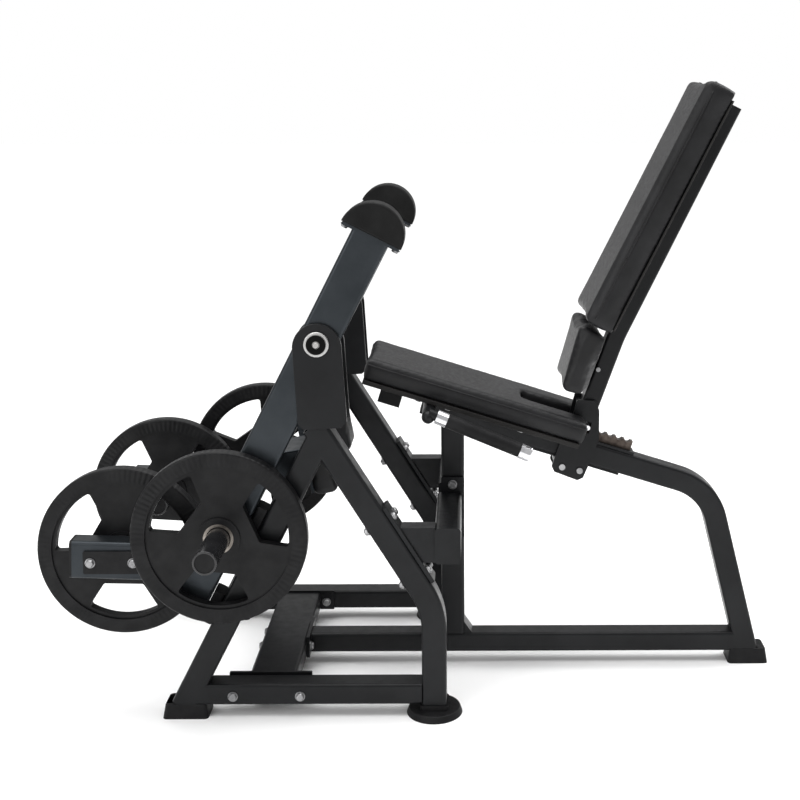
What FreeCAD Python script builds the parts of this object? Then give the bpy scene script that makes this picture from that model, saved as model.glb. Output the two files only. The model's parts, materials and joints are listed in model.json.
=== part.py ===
import FreeCAD, Part
import math
import os
from FreeCAD import Vector

os.makedirs("parts", exist_ok=True)

# Plate-loaded leg press machine. Millimetres, +Z up, the user faces -X.
# "Near" pieces are on the -Y side and "far" pieces are their mirror images on the +Y side.
# The drawing below measures X from the front of the seat post; save() moves the finished
# pieces by SHIFT_X, so that the origin lies on the floor under the middle of the machine.

SHIFT_X = 159.0

# ---- driving dimensions -------------------------------------------------------------------
TUBE = 52.0            # square tube of the side frames
WALL = 3.0             # wall thickness of the tubes
CORNER = 7.0           # outside corner radius of the tubes
BEAM_LOW, BEAM_HIGH = 27.0, 72.0
MID_BEAM = (BEAM_LOW + BEAM_HIGH) / 2
SIDE_Y = 251.0         # middle plane of each side frame and of each lever
SIDE_OUT = SIDE_Y + TUBE / 2
SIDE_IN = SIDE_Y - TUBE / 2

PIVOT = (-354.0, 800.0)
LEVER_LEAN = 27.0      # degrees from vertical
ARM_WIDE, ARM_THICK = 80.0, 50.0
ARM_UP, ARM_DOWN = 241.0, 622.0
HORN_DOWN = 445.0      # outer horn, measured down the arm from the pivot
INNER_HORN = (-779.0, 341.0)
EXTENSION_END = -868.0
PLATE_R, PLATE_THICK = 181.0, 28.0
HORN_R, HUB_R = 24.0, 31.0
SHAFT_R = 12.5

LEG_OFFSET = 91.5      # front leg's centre line, measured square to the lever's
REAR_LEG_X = -119.5
REAR_LEG_LEAN = 31.9
REAR_LEG_KNEE = 234.0

POST_X = -83.0
RAIL_TILT = 17.3
RAIL_KNEE = (499.0, 410.7)
RAIL_BEND = 125.0
RAIL_W = 50.0
REAR_TILT = 14.0

SEAT_THICK, SEAT_W = 48.0, 250.0
BACK_LEAN = 26.5
LEAD_Y = 170.0         # middle plane of the side handles


def xz(x, z, y=0.0):
    return Vector(x, y, z)


def turned(vec, degrees):
    """A vector in the XZ plane turned from +Z towards +X."""
    a = math.radians(degrees)
    return Vector(vec.x * math.cos(a) + vec.z * math.sin(a), vec.y,
                  -vec.x * math.sin(a) + vec.z * math.cos(a))


def block(x0, x1, y0, y1, z0, z1):
    return Part.makeBox(x1 - x0, y1 - y0, z1 - z0, Vector(x0, y0, z0))


def rounded(shape, radius, test):
    """Round the edges that pass the test on their middle tangent and middle point."""
    edges = []
    for edge in shape.Edges:
        mid = (edge.FirstParameter + edge.LastParameter) / 2
        if test(edge.tangentAt(mid), edge.valueAt(mid)):
            edges.append(edge)
    return shape.makeFillet(radius, edges)


def section(origin, along, wide, thick, radius):
    """Rounded rectangle face across `along` (in the XZ plane), `thick` being its size in Y."""
    side = Vector(-along.z, 0, along.x)
    side.normalize()
    lift = Vector(0, 1, 0)
    a, b, r = wide / 2, thick / 2, radius

    def at(u, v):
        return origin + side * u + lift * v

    k = r * (1 - math.sqrt(0.5))
    corners = [(a, b, 1, 1), (-a, b, -1, 1), (-a, -b, -1, -1), (a, -b, 1, -1)]
    edges = []
    starts = []
    for index, (u, v, su, sv) in enumerate(corners):
        first = at(u, v - sv * r)
        last = at(u - su * r, v)
        if index % 2:
            first, last = last, first
        edges.append(Part.Arc(first, at(u - su * k, v - sv * k), last).toShape())
        starts.append((first, last))
    for index in range(4):
        edges.append(Part.makeLine(starts[index][1], starts[(index + 1) % 4][0]))
    return Part.Face(Part.Wire(Part.__sortEdges__(edges)))


def bar(start, end, wide, thick, radius=CORNER, y=SIDE_Y):
    """Solid straight bar between two (x, z) points in the plane of `y`."""
    a, b = xz(start[0], start[1], y), xz(end[0], end[1], y)
    return section(a, b - a, wide, thick, radius).extrude(b - a)


def tube(start, end, wide, thick, radius=CORNER, y=SIDE_Y, wall=WALL):
    """Open-ended rectangular tube."""
    outer = bar(start, end, wide, thick, radius, y)
    run = xz(end[0] - start[0], end[1] - start[1])
    run.normalize()
    first = (start[0] - run.x, start[1] - run.z)
    last = (end[0] + run.x, end[1] + run.z)
    inner = bar(first, last, wide - 2 * wall, thick - 2 * wall, max(radius - wall, 1.0), y)
    return outer.cut(inner)


def bent(start, knee, end, bend, wide, thick, radius, y):
    """Solid bar with one bend of centre-line radius `bend` at `knee`."""
    a, k, b = xz(*start, y), xz(*knee, y), xz(*end, y)
    d1, d2 = k - a, b - k
    d1.normalize()
    d2.normalize()
    turn = d1.getAngle(d2)
    back = bend * math.tan(turn / 2)
    p1, p2 = k - d1 * back, k + d2 * back
    normal = d1.cross(d2)
    normal.normalize()
    centre = p1 + normal.cross(d1) * bend
    arc = section(p1, d1, wide, thick, radius).revolve(centre, normal, math.degrees(turn))
    run1 = section(a, d1, wide, thick, radius).extrude(p1 - a)
    run2 = section(p2, d2, wide, thick, radius).extrude(b - p2)
    return run1.fuse([arc, run2]).removeSplitter()


def bent_tube(start, knee, end, bend, wide, thick, radius=CORNER, y=SIDE_Y, wall=WALL):
    outer = bent(start, knee, end, bend, wide, thick, radius, y)
    d1 = xz(knee[0] - start[0], knee[1] - start[1])
    d2 = xz(end[0] - knee[0], end[1] - knee[1])
    d1.normalize()
    d2.normalize()
    first = (start[0] - d1.x, start[1] - d1.z)
    last = (end[0] + d2.x, end[1] + d2.z)
    inner = bent(first, knee, last, bend, wide - 2 * wall, thick - 2 * wall, radius - wall, y)
    return outer.cut(inner)


def rod(x, z, y0, y1, r):
    """Round bar along Y."""
    low, high = min(y0, y1), max(y0, y1)
    return Part.makeCylinder(r, high - low, Vector(x, low, z), Vector(0, 1, 0))


def ring(x, z, y0, y1, r, hole):
    return rod(x, z, y0, y1, r).cut(rod(x, z, min(y0, y1) - 1, max(y0, y1) + 1, hole))


def hexagon(centre, axis, across, tall):
    """Hexagonal nut or bolt head standing on `centre` along `axis`."""
    helper = Vector(0, 0, 1) if abs(axis.z) < 0.9 else Vector(1, 0, 0)
    u = axis.cross(helper)
    u.normalize()
    v = axis.cross(u)
    corner = across / math.sqrt(3)
    points = [centre + u * corner * math.cos(math.pi * i / 3)
              + v * corner * math.sin(math.pi * i / 3) for i in range(7)]
    head = Part.Face(Part.makePolygon(points)).extrude(axis * tall)
    dome = Part.makeCone(across * 0.66, across * 0.42, tall * 1.02, centre, axis)
    return head.common(dome)


def bolt(point, axis, grip, r=5.0, nut=True):
    """Bolt with washer and hexagon head at `point`; its shank runs `grip` mm against `axis`."""
    axis = Vector(axis)
    axis.normalize()
    washer = Part.makeCylinder(r * 2.1, 2.0, point, axis)
    head = hexagon(point + axis * 2.0, axis, r * 3.2, r * 1.1)
    shank = Part.makeCylinder(r, grip + 2.0, point + axis * 2.0, axis * -1)
    whole = [washer, head, shank]
    if nut:
        foot = point - axis * grip
        whole.append(Part.makeCylinder(r * 2.1, 2.0, foot, axis * -1))
        whole.append(hexagon(foot - axis * 2.0, axis * -1, r * 3.2, r * 1.4))
    return whole[0].fuse(whole[1:])


def mirrored(shape):
    return shape.mirror(Vector(0, 0, 0), Vector(0, 1, 0))


def group(shapes):
    return Part.makeCompound([solid for shape in shapes for solid in shape.Solids])


PIECES = {}


def save(name, shape):
    """Keep a finished piece; make_holes() may still drill it before it is written."""
    PIECES[name] = shape


def make_holes(tool, hosts):
    """Each host piece gets the holes that the tool piece goes through."""
    for host in hosts:
        PIECES[host] = PIECES[host].cut(PIECES[tool])


def write(name, shape):
    moved = group([shape])
    moved.translate(Vector(SHIFT_X, 0, 0))
    if not moved.isValid():
        print("INVALID", name)
    moved.exportStep("parts/%s.step" % name)


def save_pair(name, shape):
    """The shape is drawn at +Y: it is the far piece, and its mirror image is the near one."""
    save(name + "_far", shape)
    save(name + "_near", mirrored(shape))


def both_sides(shapes):
    return group(shapes + [mirrored(shape) for shape in shapes])


# ---- directions and key points --------------------------------------------------------------
UP_ARM = turned(Vector(0, 0, 1), LEVER_LEAN)
SQUARE_ARM = turned(Vector(1, 0, 0), LEVER_LEAN)


def on_arm(along, across=0.0):
    """(x, z) at `along` mm up the lever from the pivot and `across` mm to its rear."""
    point = UP_ARM * along + SQUARE_ARM * across
    return (PIVOT[0] + point.x, PIVOT[1] + point.z)


OUTER_HORN = on_arm(-HORN_DOWN)
UP_RAIL = turned(Vector(-1, 0, 0), RAIL_TILT)
SQUARE_RAIL = turned(Vector(0, 0, 1), RAIL_TILT)


def on_rail(x, above=0.0):
    """(x, z) above the rail's centre line, for a foot of the perpendicular at `x`."""
    along = (RAIL_KNEE[0] - x) / abs(UP_RAIL.x)
    point = UP_RAIL * along + SQUARE_RAIL * above
    return (RAIL_KNEE[0] + point.x, RAIL_KNEE[1] + point.z)


UP_BACK = turned(Vector(0, 0, 1), BACK_LEAN)


# ---- side frames ----------------------------------------------------------------------------
def clevis_plate(y_inner, thick):
    """Plate with a round top about the pivot and a chamfered foot, leaning a little."""
    lean = 3.4
    half, top = 50.0, 8.0
    cx, cz = PIVOT
    arc_z = cz - top
    foot = 176.0
    chamfer = 12.0
    points = [(cx + half, arc_z), (cx + half, cz - foot + chamfer),
              (cx + half - chamfer, cz - foot), (cx - half + chamfer, cz - foot),
              (cx - half, cz - foot + chamfer), (cx - half, arc_z)]
    edges = [Part.makeLine(xz(*points[i]), xz(*points[i + 1])) for i in range(5)]
    crown = Part.Arc(xz(cx - half, arc_z), xz(cx, arc_z + half), xz(cx + half, arc_z)).toShape()
    plate = Part.Face(Part.Wire(edges + [crown])).extrude(Vector(0, thick, 0))
    plate.translate(Vector(0, y_inner, 0))
    plate.rotate(xz(cx, cz), Vector(0, 1, 0), -lean)
    plate = plate.cut(rod(cx, cz, y_inner - 1, y_inner + thick + 1, SHAFT_R + 0.01))
    long_edges = [e for e in plate.Edges if abs(e.BoundBox.YLength) < 0.01 and e.Length > 30]
    outer = [e for e in long_edges if e.BoundBox.YMin > y_inner + thick - 0.1]
    return plate.makeFillet(1.5, outer)


CLEVIS_T = 8.0
PLATE_OUT = clevis_plate(SIDE_OUT, CLEVIS_T)
PLATE_INN = clevis_plate(SIDE_IN - CLEVIS_T, CLEVIS_T)

leg_top = on_arm(-160.0, LEG_OFFSET)
leg_foot = on_arm(-160.0 - 665.0, LEG_OFFSET)
floor_cut = block(-900, 900, -500, 500, -100, 12.0)
front_leg = tube(leg_top, leg_foot, TUBE, TUBE).cut(floor_cut)
rear_start = (REAR_LEG_X - (626.0 - REAR_LEG_KNEE) * math.tan(math.radians(REAR_LEG_LEAN)), 626.0)
rear_leg = bent_tube(rear_start, (REAR_LEG_X, REAR_LEG_KNEE), (REAR_LEG_X, 10.0),
                     170.0, TUBE, TUBE)
leg_envelope = bar(leg_top, leg_foot, TUBE, TUBE)
rear_leg = rear_leg.cut(leg_envelope)
beam = tube((-640, MID_BEAM), (REAR_LEG_X - TUBE / 2, MID_BEAM), BEAM_HIGH - BEAM_LOW, TUBE).cut(leg_envelope)
beam = max(beam.Solids, key=lambda solid: solid.Volume)
save("front_legs", both_sides([front_leg]))
save("rear_legs", both_sides([rear_leg]))
save("base_beams", both_sides([beam]))
save("clevis_plates", both_sides([PLATE_OUT, PLATE_INN]))


# ---- feet -----------------------------------------------------------------------------------
def boot(x_mid, y_mid, long, wide, high, leg):
    """Rubber boot that tapers upwards, with an open collar around the leg."""
    low = Part.makePlane(long, wide, Vector(x_mid - long / 2, y_mid - wide / 2, 0))
    inset = 5.0
    top = Part.makePlane(long - 2 * inset, wide - 2 * inset,
                         Vector(x_mid - long / 2 + inset, y_mid - wide / 2 + inset, high))
    solid = Part.makeLoft([low.OuterWire, top.OuterWire], True)
    solid = rounded(solid, 9.0, lambda t, p: abs(t.z) > 0.8)
    solid = rounded(solid, 3.0, lambda t, p: p.z > high - 0.1)
    return solid.cut(leg)


FOOT_X = on_arm(-822.0, LEG_OFFSET)[0]
beam_envelope = bar((-640, MID_BEAM), (REAR_LEG_X, MID_BEAM), BEAM_HIGH - BEAM_LOW, TUBE)
foot_hollow = bar(leg_top, leg_foot, TUBE + 0.2, TUBE + 0.2).cut(floor_cut).fuse(beam_envelope)
front_boot = boot(FOOT_X + 4, SIDE_Y, 96.0, 64.0, 30.0, foot_hollow)
front_boot = front_boot.cut(block(FOOT_X - 39, FOOT_X - 20, SIDE_Y - 20, SIDE_Y + 20, 12, 40))

disc = Part.makeCone(59.0, 54.0, 14.0, Vector(REAR_LEG_X, SIDE_Y, 0))
disc = rounded(disc, 3.0, lambda t, p: p.z > 13)
collar = Part.makeBox(TUBE + 8, TUBE + 8, 12, Vector(REAR_LEG_X - TUBE / 2 - 4, SIDE_IN - 4, 13))
collar = rounded(collar, 9.0, lambda t, p: abs(t.z) > 0.8)
leg_end = block(REAR_LEG_X - TUBE / 2, REAR_LEG_X + TUBE / 2, SIDE_IN, SIDE_OUT, 10.0, 60)
rear_disc = disc.fuse(collar).cut(leg_end)

# ---- front cross beam, centre beam, post ------------------------------------------------------
CROSS_X, CROSS_W = -466.0, 100.0
END_T = 6.0
cross = Part.makeBox(CROSS_W, 2 * (SIDE_IN - END_T), BEAM_HIGH - BEAM_LOW,
                     Vector(CROSS_X - CROSS_W / 2, END_T - SIDE_IN, BEAM_LOW))
cross = rounded(cross, CORNER, lambda t, p: abs(t.y) > 0.9)
hollow = Part.makeBox(CROSS_W - 2 * WALL, 2 * SIDE_IN, BEAM_HIGH - BEAM_LOW - 2 * WALL,
                      Vector(CROSS_X - CROSS_W / 2 + WALL, -SIDE_IN, BEAM_LOW + WALL))
save("front_cross_beam", cross.cut(hollow))
end_plate = block(CROSS_X - 92, CROSS_X + 84, SIDE_IN - END_T, SIDE_IN, BEAM_LOW + 1, BEAM_HIGH + 4)
end_plates = both_sides([rounded(end_plate, 2.0, lambda t, p: abs(t.y) > 0.9)])

CENTRE_FRONT = CROSS_X + CROSS_W / 2
rail_axis_end = (RAIL_KNEE[0] + math.tan(math.radians(REAR_TILT)) * (RAIL_KNEE[1] - 14.0), 14.0)
rail_start = on_rail(-150.0)
rail_outer = bent(rail_start, RAIL_KNEE, rail_axis_end, RAIL_BEND, RAIL_W, RAIL_W, CORNER, 0.0)
seat_rail = bent_tube(rail_start, RAIL_KNEE, rail_axis_end, RAIL_BEND, RAIL_W, RAIL_W, CORNER, 0.0)
seat_rail = seat_rail.cut(floor_cut)
save("seat_rail", seat_rail)

centre_beam = tube((CENTRE_FRONT + 7, MID_BEAM), (620, MID_BEAM), BEAM_HIGH - BEAM_LOW, RAIL_W, y=0.0)
centre_beam = centre_beam.cut(rail_outer)
centre_beam = max(centre_beam.Solids, key=lambda solid: solid.Volume)
save("centre_beam", centre_beam)
centre_flange = block(CENTRE_FRONT, CENTRE_FRONT + 7, -55, 55, BEAM_LOW + 1, BEAM_HIGH + 6)
centre_flange = rounded(centre_flange, 2.0, lambda t, p: abs(t.x) > 0.9)
save("beam_flanges", group([end_plates, centre_flange]))

post = block(POST_X - 26, POST_X + 26, -26, 26, BEAM_HIGH, 700)
post = rounded(post, CORNER, lambda t, p: abs(t.z) > 0.9)
post = post.cut(block(POST_X - 23, POST_X + 23, -23, 23, BEAM_HIGH - 1, 701))
above_rail = bar(on_rail(-300, 75), on_rail(200, 75), 200, 200, 2.0, 0.0)
post = post.cut(above_rail)
gusset = Part.Face(Part.makePolygon([xz(POST_X + 26, BEAM_HIGH), xz(POST_X + 44, BEAM_HIGH),
                                     xz(POST_X + 26, BEAM_HIGH + 26), xz(POST_X + 26, BEAM_HIGH)]))
gusset = gusset.extrude(Vector(0, 44, 0))
gusset.translate(Vector(0, -22, 0))
save("seat_post", post.fuse(gusset))

rail_hollow = rail_outer.cut(floor_cut).fuse(bar((200, MID_BEAM), (620, MID_BEAM), BEAM_HIGH - BEAM_LOW, RAIL_W, y=0.0))
rail_boot = boot(596.0, 0.0, 92.0, 64.0, 34.0, rail_hollow)
save("rubber_feet", group([both_sides([front_boot, rear_disc]), rail_boot]))

# ---- side braces between the rear legs and the post -------------------------------------------
BRACE_LOW, BRACE_HIGH = 334.0, 411.0
lean = math.radians(REAR_LEG_LEAN)
leg_down = Vector(math.sin(lean), 0, -math.cos(lean))
leg_square = Vector(math.cos(lean), 0, math.sin(lean))
knee_point = xz(REAR_LEG_X, REAR_LEG_KNEE)


def on_rear_leg(up, across):
    point = knee_point - leg_down * up + leg_square * across
    return (point.x, point.z)


FLANGE_T = 9.0
flange_axis = TUBE / 2 + FLANGE_T / 2
leg_flange = bar(on_rear_leg(52, flange_axis), on_rear_leg(240, flange_axis), FLANGE_T, TUBE - 2, 1.5)

cross_tube = Part.makeBox(54, SIDE_OUT - 34, BRACE_HIGH - BRACE_LOW, Vector(-117, 34, BRACE_LOW))
cross_tube = rounded(cross_tube, 8.0, lambda t, p: abs(t.y) > 0.9)
stub = block(-240, -116.0, SIDE_Y - 19, SIDE_Y + 19, BRACE_LOW + 1, BRACE_HIGH - 1)
behind_flange = bar(on_rear_leg(-60, TUBE / 2 + FLANGE_T - 100), on_rear_leg(400, TUBE / 2 + FLANGE_T - 100),
                    200, 120, 1.5)
brace = cross_tube.fuse(stub.cut(behind_flange)).removeSplitter()
save("braces", both_sides([brace]))
post_flange = block(POST_X - 26, POST_X + 26, 26, 34, BRACE_LOW - 30, BRACE_HIGH + 34)
post_flange = rounded(post_flange, 3.0, lambda t, p: abs(t.y) > 0.9)
save("brace_flanges", both_sides([leg_flange, post_flange]))

# ---- rubber stops for the levers ---------------------------------------------------------------
gap_mid = (ARM_WIDE / 2 + LEG_OFFSET - TUBE / 2) / 2
gap_wide = LEG_OFFSET - TUBE / 2 - ARM_WIDE / 2 - 0.6


def stop(along, long):
    piece = bar(on_arm(-along, gap_mid + 0.3), on_arm(-along - long, gap_mid + 0.3), gap_wide, 44.0, 6.0)
    return piece


save("lever_stops", both_sides([stop(362, 58), stop(565, 72)]))

# ---- pivots --------------------------------------------------------------------------------------
shaft = rod(PIVOT[0], PIVOT[1], SIDE_IN - CLEVIS_T - 6, SIDE_OUT + CLEVIS_T + 2, SHAFT_R)
save("pivot_shafts", both_sides([shaft]))


def pivot_cap(y0):
    outer = ring(PIVOT[0], PIVOT[1], y0, y0 + 6, 26.0, SHAFT_R)
    outer = rounded(outer, 2.5, lambda t, p: p.y > y0 + 5.9 and abs(p.x - PIVOT[0]) + abs(p.z - PIVOT[1]) > 20)
    return outer


cap_cover = rod(PIVOT[0], PIVOT[1], SIDE_OUT + CLEVIS_T + 6, SIDE_OUT + CLEVIS_T + 8.5, 20.5)
pivot_screw = hexagon(xz(PIVOT[0], PIVOT[1], SIDE_OUT + CLEVIS_T + 8.5), Vector(0, 1, 0), 13.0, 5.0)
cap = pivot_cap(SIDE_OUT + CLEVIS_T).fuse([cap_cover, pivot_screw])
save("pivot_caps", both_sides([cap]))

# ---- levers ----------------------------------------------------------------------------------------
BUSH_R = 20.0
arm = tube(on_arm(ARM_UP), on_arm(-ARM_DOWN), ARM_WIDE, ARM_THICK, 8.0)
arm_envelope = bar(on_arm(ARM_UP), on_arm(-ARM_DOWN), ARM_WIDE, ARM_THICK, 8.0)
hub_tube = ring(PIVOT[0], PIVOT[1], SIDE_Y - ARM_THICK / 2, SIDE_Y + ARM_THICK / 2, BUSH_R + 5, BUSH_R)
arm = arm.cut(rod(PIVOT[0], PIVOT[1], 200, 300, BUSH_R)).fuse(hub_tube)
arm_end = bar(on_arm(-ARM_DOWN - 4), on_arm(-ARM_DOWN), ARM_WIDE, ARM_THICK, 8.0)
bush = ring(PIVOT[0], PIVOT[1], SIDE_IN, SIDE_OUT, BUSH_R - 0.06, SHAFT_R)
save("pivot_bushes", both_sides([bush]))

ext_start = (EXTENSION_END, INNER_HORN[1] + 4)
ext_tube = tube(ext_start, (-560, INNER_HORN[1] - 7), ARM_WIDE, ARM_THICK, 8.0).cut(arm_envelope)
ext_tube = min(ext_tube.Solids, key=lambda solid: solid.BoundBox.XMin)
save_pair("lever_extension", ext_tube)
EXT_SLOPE = 11.0 / (-560.0 - EXTENSION_END)
ext_cap = bar((EXTENSION_END - 5.2, INNER_HORN[1] + 4 + 5.2 * EXT_SLOPE),
              (EXTENSION_END - 0.1, INNER_HORN[1] + 4 + 0.1 * EXT_SLOPE), ARM_WIDE, ARM_THICK, 8.0)

# half-round rollers on a bolted flange at the levers' upper ends
ROLLER_R, ROLLER_W = 67.0, 58.0
roller_flange = bar(on_arm(ARM_UP), on_arm(ARM_UP + 6), 2 * ROLLER_R - 6, ARM_THICK, 1.5)
save_pair("lever_arm", arm.fuse(roller_flange))
centre = on_arm(ARM_UP + 6)
roller = rod(centre[0], centre[1], SIDE_Y - ROLLER_W / 2, SIDE_Y + ROLLER_W / 2, ROLLER_R)
below = bar(on_arm(ARM_UP + 6), on_arm(ARM_UP - 150), 200, 120, 1.0)
roller = roller.cut(below)
roller = rounded(roller, 5.0, lambda t, p: abs(abs(p.y - SIDE_Y) - ROLLER_W / 2) < 0.1)
save_pair("half_roller", roller)

# shin pads: a square cross tube on the inner face of each arm, with a block pad behind it
PAD_TURN = 10.0
pad_plate = bar(on_arm(-205), on_arm(-315), ARM_WIDE - 10, 4.0, 1.0, SIDE_Y - ARM_THICK / 2 - 2.0)
pad_dir = turned(Vector(0, 0, 1), -PAD_TURN)
pad_side = turned(Vector(1, 0, 0), -PAD_TURN)
tube_corner = xz(-396.0, 565.0)
PAD_IN, PAD_OUT = 104.0, 222.0


def tilted_block(corner, wide, high, y0, y1, radius):
    """Block along Y whose upper rear corner is `corner`, turned by PAD_TURN."""
    top = corner - pad_side * (wide / 2)
    low = top - pad_dir * high
    return bar((low.x, low.z), (top.x, top.z), wide, y1 - y0, radius, (y0 + y1) / 2)


pad_tube = tilted_block(tube_corner, 60, 76, PAD_IN, PAD_OUT, 1.0)
pad_tube = rounded(pad_tube, 6.0, lambda t, p: abs(t.y) > 0.9)
pad_board = tilted_block(tube_corner + pad_side * 6 + pad_dir * -6, 6, 96, PAD_IN, 208, 1.0)
pad_corner = tube_corner + pad_side * 56 - pad_dir * 2
shin_pad = tilted_block(pad_corner, 50, 110, PAD_IN, 208, 4.0)
shin_pad = rounded(shin_pad, 14.0, lambda t, p: abs(t.y) > 0.9)
save_pair("shin_pad_tube", pad_tube.fuse([pad_plate, pad_board]))
save_pair("shin_pad", shin_pad)

# horns: the outer one stands on the arm, the inner one on the extension
OUT_FACE, IN_FACE = SIDE_Y + ARM_THICK / 2, SIDE_Y - ARM_THICK / 2
OUTER_TIP, INNER_TIP = 450.0, 84.0
PLATE_GAP = 10.0


def horn(x, z, root_y, tip_y):
    step = 1 if tip_y > root_y else -1
    sleeve = ring(x, z, root_y, tip_y, HORN_R, HORN_R - 4)
    sleeve = rounded(sleeve, 1.8, lambda t, p: abs(p.y - tip_y) < 0.1 and math.hypot(p.x - x, p.z - z) > HORN_R - 1)
    collar = rod(x, z, root_y, root_y + step * 8, 38.0)
    collar = rounded(collar, 2.0, lambda t, p: abs(p.y - root_y - step * 8) < 0.1)
    return sleeve.fuse(collar.cut(rod(x, z, root_y - 20, root_y + 20, HORN_R - 4)))


save_pair("lever_horns", group([horn(*OUTER_HORN, OUT_FACE, OUTER_TIP),
                                horn(*INNER_HORN, IN_FACE, INNER_TIP)]))
outer_plug = rod(*OUTER_HORN, OUTER_TIP - 14, OUTER_TIP - 1.5, HORN_R - 4)
inner_plug = rod(*INNER_HORN, INNER_TIP + 1.5, INNER_TIP + 14, HORN_R - 4)
backing = Part.makeBox(118, 5, 48, Vector(INNER_HORN[0] - 64, OUT_FACE, INNER_HORN[1] - 24))
backing = rounded(backing, 3.0, lambda t, p: abs(t.y) > 0.9)
save_pair("lever_trim", group([outer_plug, inner_plug, arm_end, ext_cap, backing]))

# lever fasteners
across_bolts = [bolt(xz(INNER_HORN[0] + dx, INNER_HORN[1], OUT_FACE + 5), (0, 1, 0), 55.5, 5.0)
                for dx in (-49, 39)]
roller_bolts = []
for side in (-57, 57):
    foot = xz(*on_arm(ARM_UP, side), SIDE_Y)
    roller_bolts.append(bolt(foot, UP_ARM * -1, 16.0, 4.5, False))
save_pair("lever_bolts", group(across_bolts + roller_bolts))


# ---- weight plates -----------------------------------------------------------------------------
def weight_plate(x, z, y0, spin):
    """Rubber plate with three sector windows, a thick rim with radial ribs, and a hub."""
    y1 = y0 + PLATE_THICK
    mid = (y0 + y1) / 2
    disc = rod(x, z, y0, y1, PLATE_R)
    disc = rounded(disc, 5.0, lambda t, p: abs(abs(p.y - mid) - PLATE_THICK / 2) < 0.1)
    for face in (y0, y1 - 4):
        disc = disc.cut(ring(x, z, face, face + 4, 0.83 * PLATE_R, 44.0))
    centre = xz(x, z, y0 - 5)
    inner_r, outer_r = 0.40 * PLATE_R, 0.79 * PLATE_R
    for turn in (30, 150, 270):
        points = []
        for radius, angle in ((inner_r, -30), (outer_r, -31), (outer_r, 0), (outer_r, 31), (inner_r, 30)):
            a = math.radians(turn + angle)
            length = radius / (math.cos(math.radians(30)) if radius == inner_r else 1.0)
            points.append(centre + Vector(length * math.cos(a), 0, length * math.sin(a)))
        arc = Part.Arc(points[1], points[2], points[3]).toShape()
        edges = [Part.makeLine(points[0], points[1]), arc, Part.makeLine(points[3], points[4]),
                 Part.makeLine(points[4], points[0])]
        window = Part.Face(Part.Wire(edges)).extrude(Vector(0, PLATE_THICK + 10, 0))
        window = rounded(window, 6.0, lambda t, p: abs(t.y) > 0.9)
        disc = disc.cut(window)
    disc = disc.cut(rod(x, z, y0 - 1, y1 + 1, HUB_R))
    disc.rotate(xz(x, z), Vector(0, 1, 0), spin)
    return disc


def plate_hub(x, z, y0):
    sleeve = ring(x, z, y0 - 1, y0 + PLATE_THICK + 1, HUB_R, HORN_R + 1.2)
    return sleeve


OUT_Y0 = OUT_FACE + PLATE_GAP
IN_Y0 = IN_FACE - PLATE_GAP - PLATE_THICK
NEAR_OUT_SPIN, NEAR_IN_SPIN = 6.6, 1.0
FAR_IN_SPIN, FAR_OUT_SPIN = 3.5, 24.5
save("outer_plate_far", weight_plate(*OUTER_HORN, OUT_Y0, FAR_OUT_SPIN))
save("inner_plate_far", weight_plate(*INNER_HORN, IN_Y0, FAR_IN_SPIN))
save("outer_plate_near", mirrored(weight_plate(*OUTER_HORN, OUT_Y0, NEAR_OUT_SPIN)))
save("inner_plate_near", mirrored(weight_plate(*INNER_HORN, IN_Y0, NEAR_IN_SPIN)))
save_pair("outer_plate_hub", plate_hub(*OUTER_HORN, OUT_Y0))
save_pair("inner_plate_hub", plate_hub(*INNER_HORN, IN_Y0))

# ---- seat ----------------------------------------------------------------------------------------
SEAT_FRONT, SEAT_REAR = -285.0, 205.0
SEAT_UNDER = 35.5      # underside of the cushion above the rail's centre line
SLOT = (68.0, 230.0)


def on_seat(x, above):
    """(x, z) on the cushion, `above` its underside."""
    return on_rail(x - SQUARE_RAIL.x * SEAT_UNDER, SEAT_UNDER + above)


low_mid, high_mid = on_seat(SEAT_FRONT, SEAT_THICK / 2), on_seat(SEAT_REAR, SEAT_THICK / 2)
seat = bar(low_mid, high_mid, SEAT_THICK, SEAT_W, 12.0, 0.0)
slot_cut = bar(on_seat(SLOT[0], 40), on_seat(SLOT[1] + 60, 40), 160, 74, 20.0, 0.0)
seat = seat.cut(slot_cut)
save("seat_cushion", seat)
board = bar(on_seat(SEAT_FRONT + 10, -5.3), on_seat(SEAT_REAR - 10, -5.3), 10.0, SEAT_W - 16, 1.5, 0.0)
save("seat_board", board.cut(slot_cut))
rubber_block = bar(on_rail(-244), on_rail(-196), RAIL_W, 60, 4.0, 0.0)
save("seat_front_block", rubber_block)

# ---- side handles ----------------------------------------------------------------------------------
HANDLE_TILT = 22.8
HANDLE_A = (-117.0, 621.7)
h_dir = turned(Vector(1, 0, 0), HANDLE_TILT)


def along_handle(d):
    return xz(HANDLE_A[0], HANDLE_A[1], LEAD_Y) + h_dir * d


def round_bar(d0, d1, r, hole=0.0):
    piece = Part.makeCylinder(r, d1 - d0, along_handle(d0), h_dir)
    if hole:
        piece = piece.cut(Part.makeCylinder(hole, d1 - d0 + 2, along_handle(d0 - 1), h_dir))
    return piece


ELBOW = (-133.0, 619.0)
elbow = rod(*ELBOW, RAIL_W / 2, LEAD_Y, 14.0).fuse(Part.makeSphere(14.0, xz(*ELBOW, LEAD_Y)))
core = round_bar(-16, 213, 11.0)
save("side_handles", both_sides([elbow.fuse(core).removeSplitter()]))
collar_ring = round_bar(2, 26, 16.0, 11.0)
grip = round_bar(26.2, 194, 15.5, 11.0)
grip = rounded(grip, 2.0, lambda t, p: (p - along_handle(100)).Length > 79)
save("handle_grips", both_sides([grip]))
cap = round_bar(194.2, 220, 17.5).cut(round_bar(190, 213, 11.0))
cap = rounded(cap, 4.0, lambda t, p: (p - along_handle(220)).Length < 20)
save("handle_chrome", both_sides([collar_ring, cap]))

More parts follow.
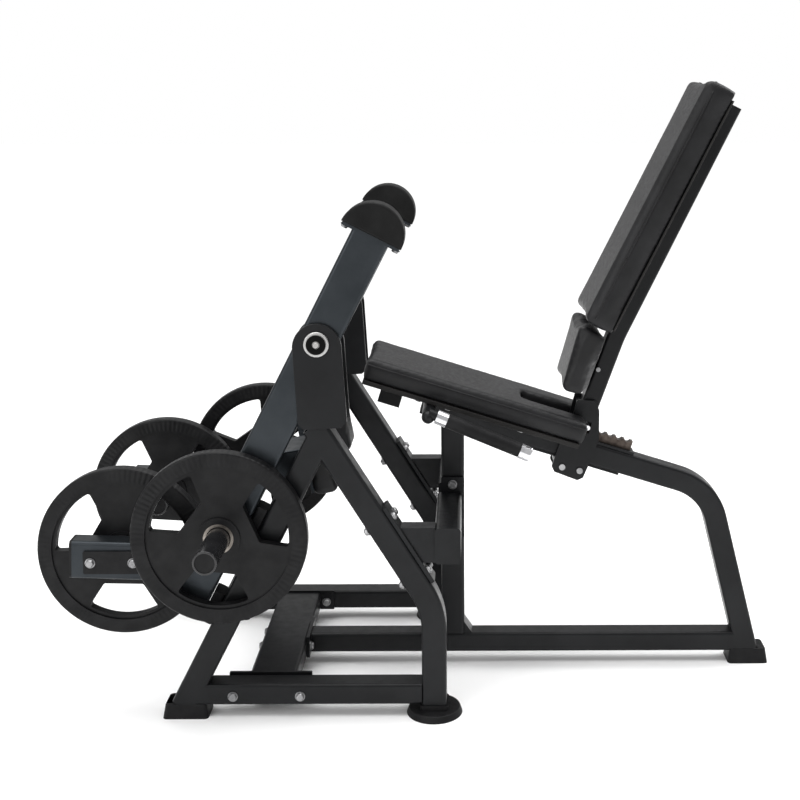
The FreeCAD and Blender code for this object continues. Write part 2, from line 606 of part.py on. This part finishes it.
# ---- rack on the rail --------------------------------------------------------------------------------
TEETH, PITCH = 10, 19.0
RACK_END = 310.0
rack_low, rack_top = RAIL_W / 2, RAIL_W / 2 + 27
rack = bar(on_rail(RACK_END - TEETH * PITCH - 8, (rack_low + rack_top) / 2),
           on_rail(RACK_END, (rack_low + rack_top) / 2), rack_top - rack_low, 20, 1.0, 0.0)
notches = []
for index in range(TEETH):
    spot = on_rail(RACK_END - 12 - index * PITCH, rack_top + 1.5)
    notches.append(rod(spot[0], spot[1], -20, 20, 7.0))
rack = rack.cut(notches[0].fuse(notches[1:]))
save("notched_rack", rack)
base_bar = bar(on_rail(RACK_END - TEETH * PITCH - 10, rack_low + 3), on_rail(RACK_END + 8, rack_low + 3),
               6, 44, 1.0, 0.0).cut(bar(on_rail(-20, rack_low + 20), on_rail(RACK_END + 2, rack_low + 20), 60, 20.4,
                                        1.0, 0.0))
wear_strip = bar(on_rail(-20, -RAIL_W / 2 - 2.5), on_rail(300, -RAIL_W / 2 - 2.5), 5, 40, 1.0, 0.0)
save("rail_strips", group([base_bar, wear_strip]))

# ---- back carriage -------------------------------------------------------------------------------------
CHEEK_IN, CHEEK_T = 28.0, 6.0
cheek_points = [(196, 623), (238, 620), (246, 598), (246, 531), (226, 479), (211, 443),
                (198, 437), (146, 457), (140, 470), (158, 523), (180, 560)]
cheek = Part.Face(Part.makePolygon([xz(*p, CHEEK_IN) for p in cheek_points + cheek_points[:1]]))
cheek = rounded(cheek.extrude(Vector(0, CHEEK_T, 0)), 5.0, lambda t, p: abs(t.y) > 0.9)
LATCH_R = 5.5
LATCH_DROP, LATCH_LIFT = 5.8, 7.0
LATCH_X = RACK_END - 12 - 5 * PITCH
LATCH = on_rail(LATCH_X, rack_top + LATCH_R + 0.6)
slot_low = on_rail(LATCH_X, rack_top + LATCH_R + 0.6 - LATCH_DROP - 6.5)
slot_high = on_rail(LATCH_X, rack_top + LATCH_R + 0.6 + LATCH_LIFT + 6.5)
latch_slot = bar(slot_low, slot_high, 12.4, 100, 1.0, 0.0)
cheek = cheek.cut(latch_slot)
save("carriage_cheeks", both_sides([cheek]))
rollers = []
for x, above, r in ((160, -RAIL_W / 2 - 11.0, 5.5), (200, -RAIL_W / 2 - 11.0, 5.5)):
    spot = on_rail(x, above)
    rollers.append(rod(spot[0], spot[1], -CHEEK_IN, CHEEK_IN, r))
save("carriage_rollers", group(rollers))
save("latch_bar", rod(LATCH[0], LATCH[1], -36, 36, LATCH_R))

UPRIGHT_W, UPRIGHT_D = 50.0, 40.0
upright_low, upright_knee, upright_top = (223.0, 598.0), (283.0, 764.0), (530.0, 1272.0)
upright = bent_tube(upright_low, upright_knee, upright_top, 300.0, UPRIGHT_D, UPRIGHT_W, 6.0, 0.0, 2.5)
save("back_upright", upright)
foot_block = Part.makeBox(42, 2 * CHEEK_IN, 34, Vector(198, -CHEEK_IN, 580))
upright_fill = bent(upright_low, upright_knee, upright_top, 300.0, UPRIGHT_D, UPRIGHT_W, 6.0, 0.0)
save("upright_foot", foot_block.cut(upright_fill))
top_cap = bar(upright_top, (532.2, 1276.5), UPRIGHT_D, UPRIGHT_W, 6.0, 0.0)
save("upright_cap", top_cap)

PAD_FRONT = -186.0     # distance of the back cushion's face from the drawing's origin, square to it
BACK_THICK, BACK_W = 66.0, 262.0
back_square = turned(Vector(1, 0, 0), BACK_LEAN)


def on_back(up, behind):
    point = UP_BACK * up + back_square * (PAD_FRONT + behind)
    return (point.x, point.z)


back_pad = bar(on_back(816, 2 + BACK_THICK / 2), on_back(1404, 2 + BACK_THICK / 2), BACK_THICK, BACK_W, 16.0, 0.0)
save("back_cushion", back_pad)
BOARD_T = 4.0
back_board = bar(on_back(830, 68.4 + BOARD_T / 2), on_back(1380, 68.4 + BOARD_T / 2), BOARD_T, BACK_W - 26, 1.0, 0.0)
back_board = back_board.cut(upright_fill)
save("back_board", max(back_board.Solids, key=lambda solid: solid.Volume))
lumbar_points = [(197, 809), (157, 664), (163, 655), (200, 645), (252, 776)]
lumbar = Part.Face(Part.makePolygon([xz(*p, -100) for p in lumbar_points + lumbar_points[:1]]))
lumbar = rounded(lumbar.extrude(Vector(0, 200, 0)), 9.0, lambda t, p: abs(t.y) > 0.9)
lumbar = lumbar.cut(bar(upright_low, upright_knee, UPRIGHT_D + 3, 260, 2.0, 0.0))
lumbar = lumbar.cut(bar(on_back(812, 40), on_back(1000, 40), 120, 300, 2.0, 0.0))
save("lumbar_cushion", max(lumbar.Solids, key=lambda solid: solid.Volume))
back_bolts = []
for x, z in ((490.6, 1227.2), (398.2, 1036.2), (305.0, 846.2), (243.0, 690.0)):
    back_bolts.append(rod(x, z, -UPRIGHT_W / 2 - 4, UPRIGHT_W / 2 + 4, 5.0))
for x, z in ((163.4, 468.3), (203.0, 459.7)):
    spot = Vector(x, CHEEK_IN + CHEEK_T, z)
    back_bolts.append(rod(x, z, spot.y, spot.y + 4, 7.0))
    back_bolts.append(rod(x, z, -spot.y - 4, -spot.y, 7.0))
save("carriage_bolts", group(back_bolts))

# ---- frame fasteners -----------------------------------------------------------------------------------
frame_bolts = []
for x in (CROSS_X - 76, CROSS_X + 65):
    frame_bolts.append(bolt(xz(x, 47.0, SIDE_OUT), (0, 1, 0), TUBE + END_T, 5.0))
for up in (78, 214):
    spot = on_rear_leg(up, TUBE / 2 + FLANGE_T)
    frame_bolts.append(bolt(xz(*spot, SIDE_Y + 14), leg_square, TUBE + FLANGE_T, 4.5))
    frame_bolts.append(bolt(xz(*spot, SIDE_Y - 14), leg_square, TUBE + FLANGE_T, 4.5))
for z in (BRACE_HIGH + 17, BRACE_LOW - 14):
    frame_bolts.append(bolt(xz(POST_X, z, 34), (0, 1, 0), 5.0, 5.0, False))
frame_bolts = frame_bolts + [mirrored(piece) for piece in frame_bolts]
for y in (-38, 38):
    frame_bolts.append(bolt(xz(CENTRE_FRONT + 7, 50.0, y), (1, 0, 0), CROSS_W + 7, 5.0))
for x in (-163, -99, 60):
    for y in (-88, 88):
        frame_bolts.append(bolt(xz(*on_rail(x, RAIL_W / 2), y), SQUARE_RAIL * -1, 5.0, 4.5, False))
save("frame_bolts", group(frame_bolts))

make_holes("frame_bolts", ["base_beams", "beam_flanges", "brace_flanges", "front_cross_beam", "rear_legs",
                           "seat_board"])
make_holes("carriage_bolts", ["back_board", "back_upright"])
make_holes("side_handles", ["handle_chrome"])
for side in ("near", "far"):
    drilled = ["half_roller_", "lever_arm_", "lever_extension_", "lever_horns_", "lever_trim_"]
    make_holes("lever_bolts_" + side, [piece + side for piece in drilled])
for piece_name, piece_shape in PIECES.items():
    write(piece_name, piece_shape)
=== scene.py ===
import json
import math

import bmesh
import bpy
from mathutils import Matrix, Vector
from mathutils.bvhtree import BVHTree


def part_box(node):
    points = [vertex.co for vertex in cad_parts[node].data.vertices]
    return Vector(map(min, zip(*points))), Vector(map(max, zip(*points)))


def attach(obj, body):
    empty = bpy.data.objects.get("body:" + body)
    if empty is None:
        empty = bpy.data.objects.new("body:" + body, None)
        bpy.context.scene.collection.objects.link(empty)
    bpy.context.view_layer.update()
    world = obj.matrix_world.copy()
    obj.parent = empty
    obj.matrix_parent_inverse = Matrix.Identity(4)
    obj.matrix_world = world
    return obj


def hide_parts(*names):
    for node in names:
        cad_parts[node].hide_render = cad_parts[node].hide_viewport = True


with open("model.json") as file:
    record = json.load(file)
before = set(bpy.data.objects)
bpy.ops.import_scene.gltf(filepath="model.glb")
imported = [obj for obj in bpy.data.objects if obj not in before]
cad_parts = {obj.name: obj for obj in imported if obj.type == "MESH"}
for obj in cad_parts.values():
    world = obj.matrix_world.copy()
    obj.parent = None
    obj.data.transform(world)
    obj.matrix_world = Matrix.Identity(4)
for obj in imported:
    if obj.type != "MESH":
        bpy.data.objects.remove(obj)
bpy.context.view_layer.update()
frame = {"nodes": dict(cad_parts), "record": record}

# The leg press machine, in metres. The user faces -X; "near" is the -Y side.
# Turns of the tilted pads about the Y axis, the same as in the CAD.
SEAT_TILT = math.radians(17.3)
BACK_LEAN = math.radians(26.5)
LUMBAR_LEAN = math.radians(15.4)
SHIN_TURN = math.radians(-10.0)
ACROSS = Vector((0, 1, 0))

PLATE_RADIUS = 0.181
RIBS = 96.0                    # round the rim of a weight plate
RIM_BEGINS, RIM_FULL = 0.83, 0.86    # of the plate's radius: the ribs fade in between these
PIVOT_CAP_RADIUS = 0.0262

SKIN_GAP = 0.0004              # a pad's cover keeps this far inside the CAD's faces
SEAT_SLOT = 0.037              # half width of the slot in the seat's rear, where the back rest runs
SLOT_CLEARANCE = 0.0015        # the cover's edge stays this much outside the slot's half width
SLOT_REACH_IN, SLOT_REACH_OUT = 0.003, 0.025    # points this near the half width are held outwards
PRESSURE = 4.0
SWELL_FRAMES = 20

WELT_RADIUS = 0.0017
WELT_SINK = 0.0002
RAY_START = 0.05               # how far outside a pad the rays that look for its sides begin
CORNER_STOP = 0.94             # of the half sizes: rays keep off the last of each corner


# ---- materials --------------------------------------------------------------------------------
class Surface:
    """A procedural material: a Principled shader and short helpers that add nodes to it."""

    def __init__(self, name, roughness, metallic=0.0, specular=0.5):
        self.material = bpy.data.materials.new(name)
        self.material.use_nodes = True
        self.tree = self.material.node_tree
        self.shader = self.tree.nodes["Principled BSDF"]
        self.shader.inputs["Roughness"].default_value = roughness
        self.shader.inputs["Metallic"].default_value = metallic
        self.shader.inputs["Specular IOR Level"].default_value = specular
        self.place = self.add("ShaderNodeTexCoord").outputs["Object"]
        self.last_bump = None

    def add(self, kind, **settings):
        node = self.tree.nodes.new(kind)
        for key, value in settings.items():
            setattr(node, key, value)
        return node

    def link(self, source, target):
        self.tree.links.new(source, target)

    def noise(self, scale, detail=3.0, stretch=None):
        node = self.add("ShaderNodeTexNoise")
        node.inputs["Scale"].default_value = scale
        node.inputs["Detail"].default_value = detail
        source = self.place
        if stretch:
            mapping = self.add("ShaderNodeMapping")
            mapping.inputs["Scale"].default_value = stretch
            self.link(source, mapping.inputs["Vector"])
            source = mapping.outputs["Vector"]
        self.link(source, node.inputs["Vector"])
        return node.outputs["Fac"]

    def cells(self, scale):
        node = self.add("ShaderNodeTexVoronoi")
        node.inputs["Scale"].default_value = scale
        self.link(self.place, node.inputs["Vector"])
        return node.outputs["Distance"]

    def ramp(self, source, stops):
        node = self.add("ShaderNodeValToRGB")
        elements = node.color_ramp.elements
        while len(elements) < len(stops):
            elements.new(0.5)
        for element, (position, value) in zip(elements, stops):
            element.position = position
            element.color = (*value, 1.0) if isinstance(value, tuple) else (value, value, value, 1.0)
        self.link(source, node.inputs["Fac"])
        return node.outputs["Color"]

    def math(self, operation, first, second=None):
        node = self.add("ShaderNodeMath", operation=operation)
        for socket, value in zip(node.inputs, (first, second)):
            if value is None:
                continue
            if isinstance(value, (int, float)):
                socket.default_value = value
            else:
                self.link(value, socket)
        return node.outputs[0]

    def length(self, first, second):
        """Distance from the origin of a point with these two coordinates."""
        first_square = self.math("MULTIPLY", first, first)
        second_square = self.math("MULTIPLY", second, second)
        return self.math("SQRT", self.math("ADD", first_square, second_square))

    def colour(self, source, dark, light, low=0.35, high=0.65):
        self.link(self.ramp(source, ((low, dark), (high, light))), self.shader.inputs["Base Color"])

    def rough(self, source, low, high):
        self.link(self.ramp(source, ((0.3, low), (0.7, high))), self.shader.inputs["Roughness"])

    def bump(self, source, height, strength=1.0):
        node = self.add("ShaderNodeBump")
        node.inputs["Distance"].default_value = height
        node.inputs["Strength"].default_value = strength
        self.link(source, node.inputs["Height"])
        if self.last_bump:
            self.link(self.last_bump, node.inputs["Normal"])
        self.last_bump = node.outputs["Normal"]
        self.link(self.last_bump, self.shader.inputs["Normal"])


def powder_coat(name, dark, light, metallic, roughness, specular):
    """Satin powder coat: fine orange peel, faint cloudiness and lightly rubbed spots."""
    coat = Surface(name, roughness, metallic, specular)
    coat.colour(coat.noise(9.0, 5.0), dark, light)
    coat.rough(coat.noise(60.0, 4.0), roughness - 0.06, roughness + 0.07)
    coat.bump(coat.noise(900.0, 2.0), 0.00025, 0.35)
    coat.bump(coat.noise(240.0, 2.0), 0.0005, 0.10)
    return coat.material


def vinyl_cover(name):
    """Black upholstery vinyl: fine pebbled grain with soft creases and a little sheen."""
    cover = Surface(name, 0.42, 0.0, 0.26)
    cover.colour(cover.noise(14.0, 4.0), (0.005, 0.005, 0.0055), (0.010, 0.010, 0.011))
    cover.rough(cover.noise(120.0, 4.0), 0.34, 0.46)
    cover.bump(cover.cells(620.0), 0.0006, 0.42)
    cover.bump(cover.noise(1500.0, 2.0), 0.0003, 0.25)
    cover.bump(cover.noise(22.0, 3.0), 0.004, 0.18)
    return cover.material


def rubber_skin(name, dark, light, roughness, grain=500.0):
    """Matt moulded rubber with a fine open texture and dusty patches."""
    rubber = Surface(name, roughness, 0.0, 0.15)
    rubber.colour(rubber.noise(25.0, 5.0), dark, light)
    rubber.rough(rubber.noise(80.0, 4.0), roughness - 0.08, roughness + 0.08)
    rubber.bump(rubber.noise(grain, 3.0), 0.0006, 0.35)
    return rubber.material


def plate_skin(name, node, disc_radius):
    """Rubber of one weight plate: its rim carries fine ribs that run out from the hub."""
    low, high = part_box(node)
    hub = (low + high) / 2
    skin = Surface(name, 0.42, 0.0, 0.17)
    split = skin.add("ShaderNodeSeparateXYZ")
    skin.link(skin.place, split.inputs[0])
    out_x = skin.math("SUBTRACT", split.outputs["X"], hub.x)
    out_z = skin.math("SUBTRACT", split.outputs["Z"], hub.z)
    angle = skin.math("ARCTAN2", out_z, out_x)
    radius = skin.length(out_x, out_z)
    ribs = skin.math("SINE", skin.math("MULTIPLY", angle, RIBS))
    rim_stops = ((RIM_BEGINS, 0.0), (RIM_FULL, 1.0))
    on_rim = skin.ramp(skin.math("MULTIPLY", radius, 1.0 / disc_radius), rim_stops)
    patches = skin.ramp(skin.noise(9.0, 2.0), ((0.42, 0.08), (0.62, 1.0)))
    skin.colour(skin.noise(30.0, 6.0), (0.004, 0.004, 0.0045), (0.009, 0.009, 0.0095))
    skin.rough(skin.noise(90.0, 5.0), 0.36, 0.50)
    skin.bump(skin.math("MULTIPLY", skin.math("MULTIPLY", ribs, on_rim), patches), 0.0007, 0.5)
    skin.bump(skin.noise(420.0, 4.0), 0.0005, 0.3)
    return skin.material


def turned_metal(name, dark, light, roughness, scratch=(40.0, 40.0, 900.0)):
    """Bare or plated metal with a drawn finish and a little staining."""
    metal = Surface(name, roughness, 1.0)
    metal.colour(metal.noise(40.0, 5.0), dark, light)
    metal.rough(metal.noise(1.0, 3.0, scratch), roughness - 0.08, roughness + 0.12)
    metal.bump(metal.noise(1.0, 3.0, scratch), 0.0003, 0.12)
    return metal.material


def gloss_coat(name, dark, light):
    """Gloss black paint over steel, with a clear coat and faint handling marks."""
    paint = Surface(name, 0.20, 0.1, 0.35)
    paint.shader.inputs["Coat Weight"].default_value = 0.35
    paint.shader.inputs["Coat Roughness"].default_value = 0.12
    paint.colour(paint.noise(30.0, 4.0), dark, light)
    paint.rough(paint.noise(45.0, 3.0), 0.16, 0.26)
    paint.bump(paint.noise(120.0, 1.0), 0.0001, 0.05)
    return paint.material


def rack_metal(name):
    """Brown-grey steel of the notched rack, with oil in the pores."""
    metal = Surface(name, 0.48, 0.75)
    metal.colour(metal.noise(70.0, 6.0), (0.045, 0.034, 0.028), (0.10, 0.080, 0.068))
    metal.rough(metal.noise(150.0, 4.0), 0.38, 0.58)
    metal.bump(metal.noise(700.0, 3.0), 0.0005, 0.35)
    return metal.material


def black_board(name):
    """Black-faced board with a fine directional texture."""
    face = Surface(name, 0.6, 0.0, 0.3)
    grain = face.noise(1.0, 4.0, (30.0, 400.0, 30.0))
    face.colour(grain, (0.006, 0.0055, 0.005), (0.011, 0.010, 0.0095))
    face.rough(grain, 0.52, 0.68)
    face.bump(grain, 0.0004, 0.3)
    return face.material


def pivot_finish(name, node):
    """Bright outer ring round a dark cover with a small bright screw in its middle."""
    low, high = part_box(node)
    middle = (low + high) / 2
    metal = Surface(name, 0.32, 1.0)
    split = metal.add("ShaderNodeSeparateXYZ")
    metal.link(metal.place, split.inputs[0])
    out_x = metal.math("SUBTRACT", split.outputs["X"], middle.x)
    out_z = metal.math("SUBTRACT", split.outputs["Z"], middle.z)
    radius = metal.math("MULTIPLY", metal.length(out_x, out_z), 1.0 / PIVOT_CAP_RADIUS)
    stained = metal.math("MULTIPLY", metal.noise(300.0, 4.0), 0.02)
    rings = metal.ramp(metal.math("ADD", radius, stained), (
        (0.28, (0.42, 0.41, 0.40)), (0.31, (0.008, 0.008, 0.008)),
        (0.77, (0.008, 0.008, 0.008)), (0.80, (0.46, 0.455, 0.45))))
    metal.link(rings, metal.shader.inputs["Base Color"])
    metal.rough(metal.noise(200.0, 3.0), 0.26, 0.42)
    metal.bump(metal.noise(500.0, 3.0), 0.0003, 0.15)
    return metal.material


PLATES = ("outer_plate_near", "outer_plate_far", "inner_plate_near", "inner_plate_far")
FINISH = {
    "frame_black": powder_coat(
        "frame_black", (0.005, 0.0053, 0.006), (0.009, 0.0095, 0.0105), 0.2, 0.36, 0.24),
    "lever_grey": powder_coat(
        "lever_grey", (0.024, 0.028, 0.032), (0.036, 0.041, 0.046), 0.7, 0.34, 0.30),
    "roller_rubber": rubber_skin("roller_rubber", (0.004, 0.004, 0.004), (0.008, 0.008, 0.008), 0.6),
    "foot_rubber": rubber_skin("foot_rubber", (0.005, 0.005, 0.0055), (0.010, 0.010, 0.0105), 0.5),
    "grip_rubber": rubber_skin(
        "grip_rubber", (0.006, 0.006, 0.0065), (0.012, 0.012, 0.0125), 0.55, 900.0),
    "vinyl": vinyl_cover("vinyl"),
    "board": black_board("board"),
    "black_plastic": rubber_skin("black_plastic", (0.006, 0.006, 0.0065), (0.010, 0.010, 0.0105), 0.4),
    "horn_steel": gloss_coat("horn_steel", (0.008, 0.008, 0.009), (0.014, 0.014, 0.015)),
    "zinc": turned_metal("zinc", (0.22, 0.22, 0.225), (0.36, 0.36, 0.365), 0.34),
    "bushing_steel": turned_metal("bushing_steel", (0.15, 0.135, 0.12), (0.27, 0.245, 0.22), 0.34),
    "chrome": turned_metal("chrome", (0.68, 0.68, 0.70), (0.80, 0.80, 0.82), 0.14),
    "rack": rack_metal("rack"),
    "pivot": pivot_finish("pivot", "pivot_caps"),
}
for plate in PLATES:
    FINISH[plate] = plate_skin(plate + "_rubber", plate, PLATE_RADIUS)

for part in frame["record"]["subparts"]:
    node = part["node"]
    finish = FINISH[node] if node in PLATES else FINISH[part["material_slot"]]
    if node == "notched_rack":
        finish = FINISH["rack"]
    if node == "pivot_caps":
        finish = FINISH["pivot"]
    mesh = frame["nodes"][node].data
    mesh.materials.clear()
    mesh.materials.append(finish)


# ---- soft pieces ------------------------------------------------------------------------------
def axes(lean):
    """(along, up) of a pad: +X and +Z turned by lean about the Y axis."""
    turn = Matrix.Rotation(lean, 3, "Y")
    return turn @ Vector((1, 0, 0)), turn @ Vector((0, 0, 1))


def spread(node, direction):
    """Lowest and highest distance of a CAD node's points along a direction."""
    along = [v.co.dot(direction) for v in frame["nodes"][node].data.vertices]
    return min(along), max(along)


def smooth(mesh):
    for polygon in mesh.polygons:
        polygon.use_smooth = True


def inflate(name, node, rest_side, voxel, rounding, cap, body, slot=0.0):
    """A stuffed pad in the space of a CAD solid: cloth under pressure, flat on its rest_side.

    With a slot, points near that half width are held outwards, all along the pad, so that the slot
    stays open.
    """
    pad = bpy.data.objects.new(name, frame["nodes"][node].data.copy())
    bpy.context.collection.objects.link(pad)
    remesh = pad.modifiers.new("even", "REMESH")
    remesh.mode = "VOXEL"
    remesh.voxel_size = voxel
    apply_modifiers(pad)
    rest = spread(node, rest_side)[1] - SKIN_GAP
    resting = [rest - v.co.dot(rest_side) < voxel for v in pad.data.vertices]
    sides = [abs(v.co.y) for v in pad.data.vertices]
    form = bmesh.new()
    form.from_mesh(pad.data)
    for _ in range(rounding):
        bmesh.ops.smooth_vert(
            form, verts=form.verts, factor=0.5, use_axis_x=True, use_axis_y=True, use_axis_z=True)
    form.to_mesh(pad.data)
    form.free()
    start = [v.co.copy() for v in pad.data.vertices]
    swell(pad)
    ways = [rest_side, ACROSS, rest_side.cross(ACROSS)]
    limits = [spread(node, way) for way in ways]
    for vert, before, flat, side in zip(pad.data.vertices, start, resting, sides):
        move = vert.co - before
        if move.length > cap:
            move *= cap / move.length
        place = before + move
        if flat:
            place += rest_side * (rest - place.dot(rest_side))
        for way, (low, high) in zip(ways, limits):
            here = place.dot(way)
            place += way * (min(max(here, low + SKIN_GAP), high - SKIN_GAP) - here)
        if slot and slot - SLOT_REACH_IN < side < slot + SLOT_REACH_OUT:
            edge = max(abs(place.y), side, slot + SLOT_CLEARANCE)
            place.y = math.copysign(edge, before.y)
        vert.co = place
    settle = pad.modifiers.new("settle", "SMOOTH")
    settle.iterations = 2
    settle.factor = 0.5
    finer = pad.modifiers.new("finer", "SUBSURF")
    finer.levels = finer.render_levels = 1
    apply_modifiers(pad)
    smooth(pad.data)
    pad.data.materials.clear()
    pad.data.materials.append(FINISH["vinyl"])
    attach(pad, body)
    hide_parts(node)
    return pad


def apply_modifiers(obj):
    """Bakes the modifiers into the mesh."""
    graph = bpy.context.evaluated_depsgraph_get()
    graph.update()
    baked = bpy.data.meshes.new_from_object(obj.evaluated_get(graph))
    obj.modifiers.clear()
    obj.data = baked


def swell(pad):
    """Cloth simulation of the cover under the pressure of its filling."""
    cloth = pad.modifiers.new("fill", "CLOTH")
    cloth.settings.use_pressure = True
    cloth.settings.uniform_pressure_force = PRESSURE
    cloth.settings.quality = 4
    cloth.settings.effector_weights.gravity = 0.0
    cloth.point_cache.frame_start = 1
    cloth.point_cache.frame_end = SWELL_FRAMES
    scene = bpy.context.scene
    for step in range(1, SWELL_FRAMES + 1):
        scene.frame_set(step)
    apply_modifiers(pad)
    scene.frame_set(1)


def loop_around(pad, centre, u, v, half_u, half_v, count, gap):
    """Points and normals where rays square to a rectangle meet the pad's sides.

    Rays nearer than `gap` to the middle of the +u side are left out.
    """
    tree = BVHTree.FromObject(pad, bpy.context.evaluated_depsgraph_get())
    found = []
    rim = 4 * (half_u + half_v)
    for step in range(count):
        run = (2 * half_u + half_v + rim * step / count) % rim
        if run < 2 * half_u:
            aim, out = u * (run - half_u), -v
        elif run < 2 * (half_u + half_v):
            aim, out = v * (run - 2 * half_u - half_v), u
        elif run < 4 * half_u + 2 * half_v:
            aim, out = u * (3 * half_u + 2 * half_v - run), v
        else:
            aim, out = v * (4 * half_u + 3 * half_v - run), -u
        if out == u and abs(aim.dot(v)) < gap:
            continue
        side = half_v if abs(out.dot(v)) > 0.5 else half_u
        hit, normal, _, _ = tree.ray_cast(
            centre + aim * CORNER_STOP + out * (side + RAY_START), -out)
        if hit is not None:
            found.append((hit, normal))
    return found


def thread(name, points, radius, material, body, closed=True):
    """A sewn welt: a smooth round cord through points that lie on a pad."""
    curve = bpy.data.curves.new(name, "CURVE")
    curve.dimensions = "3D"
    curve.bevel_depth = radius
    curve.bevel_resolution = 2
    spline = curve.splines.new("NURBS")
    spline.points.add(len(points) - 1)
    for point, place in zip(spline.points, points):
        point.co = (*place, 1.0)
    spline.use_cyclic_u = closed
    spline.order_u = 3
    welt = bpy.data.objects.new(name, curve)
    bpy.context.collection.objects.link(welt)
    curve.materials.append(material)
    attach(welt, body)


def side_seam(pad, name, node, along, up, height, body, gap=0.0, count=260):
    """Welt round a pad's sides, `height` along `up` from the low end of the CAD node."""
    across = along.cross(up)
    extents = [spread(node, axis) for axis in (along, across, up)]
    middle = along * (sum(extents[0]) / 2) + across * (sum(extents[1]) / 2)
    centre = middle + up * (extents[2][0] + height)
    half_u = (extents[0][1] - extents[0][0]) / 2
    half_v = (extents[1][1] - extents[1][0]) / 2
    points = loop_around(pad, centre, along, across, half_u, half_v, count, gap)
    sunk = [hit - normal * WELT_SINK for hit, normal in points]
    thread(name, sunk, WELT_RADIUS, FINISH["vinyl"], body, closed=gap == 0.0)


seat_along, seat_up = axes(SEAT_TILT)
seat_pad = inflate(
    "seat_pad", "seat_cushion", -seat_up, 0.006, 12, 0.009, "root", slot=SEAT_SLOT)
back_out, back_up = axes(BACK_LEAN)
back_pad = inflate("back_pad", "back_cushion", back_out, 0.006, 14, 0.010, "back_carriage")
lumbar_out = axes(LUMBAR_LEAN)[0]
inflate("lumbar_pad", "lumbar_cushion", lumbar_out, 0.005, 8, 0.007, "back_carriage")
shin_out = axes(SHIN_TURN)[0]
for side in ("near", "far"):
    inflate(
        "shin_cushion_" + side, "shin_pad_" + side, -shin_out, 0.005, 5, 0.006, "lever_" + side)

side_seam(seat_pad, "seat_seam", "seat_cushion", seat_along, seat_up, 0.034, "root", gap=0.050)
side_seam(back_pad, "back_seam", "back_cushion", back_up, -back_out, 0.046, "back_carriage")

# ---- stage, lights and camera -----------------------------------------------------------------
floor_mesh = bpy.data.meshes.new("floor")
floor_form = bmesh.new()
bmesh.ops.create_grid(floor_form, x_segments=1, y_segments=1, size=30.0)
floor_form.to_mesh(floor_mesh)
floor_form.free()
floor = bpy.data.objects.new("floor", floor_mesh)
bpy.context.collection.objects.link(floor)
paper = Surface("paper", 0.85, 0.0, 0.2)
paper.colour(paper.noise(0.5, 2.0), (0.985, 0.985, 0.985), (0.995, 0.995, 0.995))
floor_mesh.materials.append(paper.material)

# The backdrop shows white to the camera but gives only part of that light, so it isn't physical.
BACKDROP_LIGHT, BACKDROP_SEEN = 0.55, 1.0
world = bpy.data.worlds.new("studio")
bpy.context.scene.world = world
world.use_nodes = True
sky = world.node_tree.nodes["Background"]
sky.inputs["Color"].default_value = (1.0, 1.0, 1.0, 1.0)
seen = world.node_tree.nodes.new("ShaderNodeLightPath").outputs["Is Camera Ray"]
level = world.node_tree.nodes.new("ShaderNodeMapRange")
level.inputs["To Min"].default_value = BACKDROP_LIGHT
level.inputs["To Max"].default_value = BACKDROP_SEEN
world.node_tree.links.new(seen, level.inputs["Value"])
world.node_tree.links.new(level.outputs["Result"], sky.inputs["Strength"])

sun_data = bpy.data.lights.new("overhead", "SUN")
sun_data.energy = 1.75
sun_data.angle = math.radians(75)
sun = bpy.data.objects.new("overhead", sun_data)
bpy.context.collection.objects.link(sun)
sun.rotation_euler = (math.radians(-8), math.radians(-10), 0.0)


def softbox(name, place, aim, size, power):
    """A rectangular light of that size and power at a place, turned to its aim."""
    light = bpy.data.lights.new(name, "AREA")
    light.shape = "RECTANGLE"
    light.size, light.size_y = size
    light.energy = power
    lamp = bpy.data.objects.new(name, light)
    bpy.context.collection.objects.link(lamp)
    lamp.location = place
    lamp.rotation_euler = (Vector(aim) - Vector(place)).to_track_quat("-Z", "Y").to_euler()


softbox("top_light", (0.0, -0.4, 3.2), (0.0, 0.0, 0.5), (3.0, 2.2), 55.0)
softbox("front_light", (-2.2, -2.6, 1.8), (0.0, 0.0, 0.6), (1.8, 1.8), 32.0)
softbox("rim_light", (2.4, 0.8, 2.2), (0.1, 0.0, 0.7), (1.2, 2.0), 38.0)

# Found beforehand by a fit to the reference view, which it meets only approximately.
LENS = 56.72
SHIFT_X, SHIFT_Y = -0.10, -0.18
CAMERA_PLACE = (0.1143, -2.7869, 1.3013)
YAW, PITCH = -0.0085, -0.1279

camera_data = bpy.data.cameras.new("camera")
camera_data.lens = LENS
camera_data.shift_x, camera_data.shift_y = SHIFT_X, SHIFT_Y
camera = bpy.data.objects.new("camera", camera_data)
bpy.context.collection.objects.link(camera)
camera.location = CAMERA_PLACE
level_part = math.cos(PITCH)
look = Vector((math.sin(-YAW) * level_part, math.cos(YAW) * level_part, math.sin(PITCH)))
camera.rotation_euler = look.to_track_quat("-Z", "Y").to_euler()
bpy.context.scene.camera = camera

bpy.context.scene.view_settings.view_transform = "Standard"
